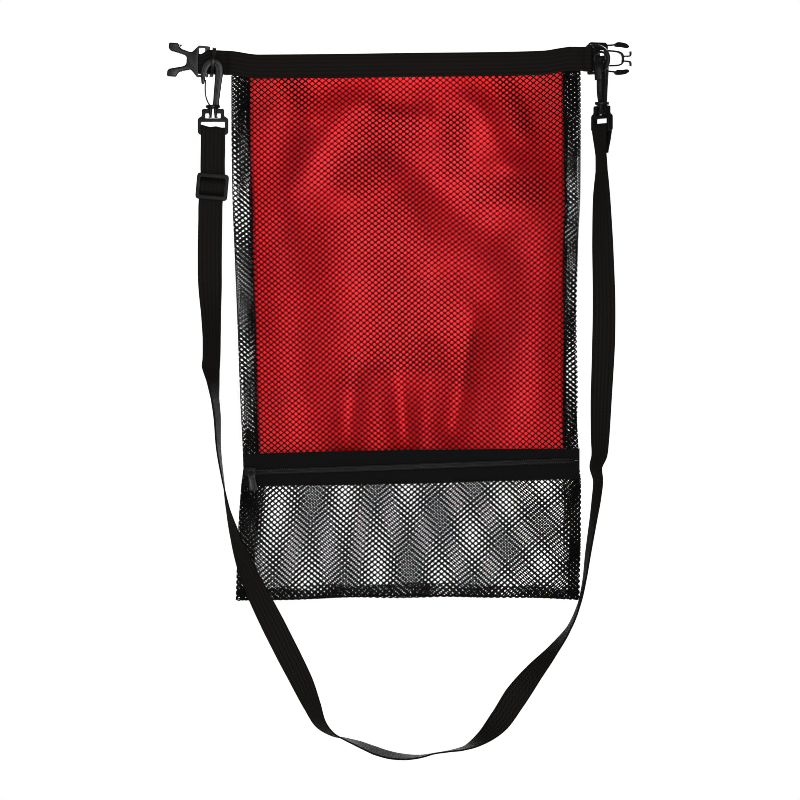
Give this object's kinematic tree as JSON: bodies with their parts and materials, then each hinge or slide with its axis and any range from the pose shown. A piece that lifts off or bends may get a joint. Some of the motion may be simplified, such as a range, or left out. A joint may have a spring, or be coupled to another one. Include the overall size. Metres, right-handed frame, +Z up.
{
  "type": "waterproof bag",
  "caption": "Roll-top waterproof bag: coated cloth inner bag in a net outer bag, webbing mouth band with side-release buckle, zipped net pocket and a clip-on shoulder strap.",
  "frame": {"origin": "middle of the mouth band's top edge, halfway between its front and back", "axes": "+Z up along the bag's height, -Y out of the front with the zip, +X to the right seen from the front"},
  "size_m": [0.3871, 0.0435, 0.5965],
  "materials": {
    "coated_cloth": "coated ripstop, satin",
    "net": "knitted net, matte",
    "webbing": "woven, matte",
    "zip_cloth": "woven tape, matte",
    "zip_coil": "moulded coil, satin",
    "zip_metal": "dark painted",
    "plastic": "moulded, fine grain"
  },
  "bodies": {
    "bag": {"inner_bag": "coated_cloth", "net_front_upper": "net", "net_front_lower": "net", "net_back": "net", "band_front": "webbing", "band_back": "webbing", "zip_tape_upper": "zip_cloth", "zip_tape_lower": "zip_cloth", "zip_coil": "zip_coil", "zip_slider": "zip_metal", "buckle_socket": "plastic", "buckle_plug": "plastic", "ring_left": "plastic", "ring_right": "plastic", "hook_left": "plastic", "hook_right": "plastic", "base_left": "plastic", "base_right": "plastic", "strap_slider": "plastic", "strap": "webbing"},
    "pull": {"zip_pull": "zip_metal"}
  },
  "joints": [
    {"name": "pull_swing", "type": "hinge", "parent": "bag", "child": "pull", "pos_m": [-0.12755, -0.0089, -0.34798], "axis": [0.1376, 0.9905, 0], "range_deg": [-100, 40]}
  ]
}
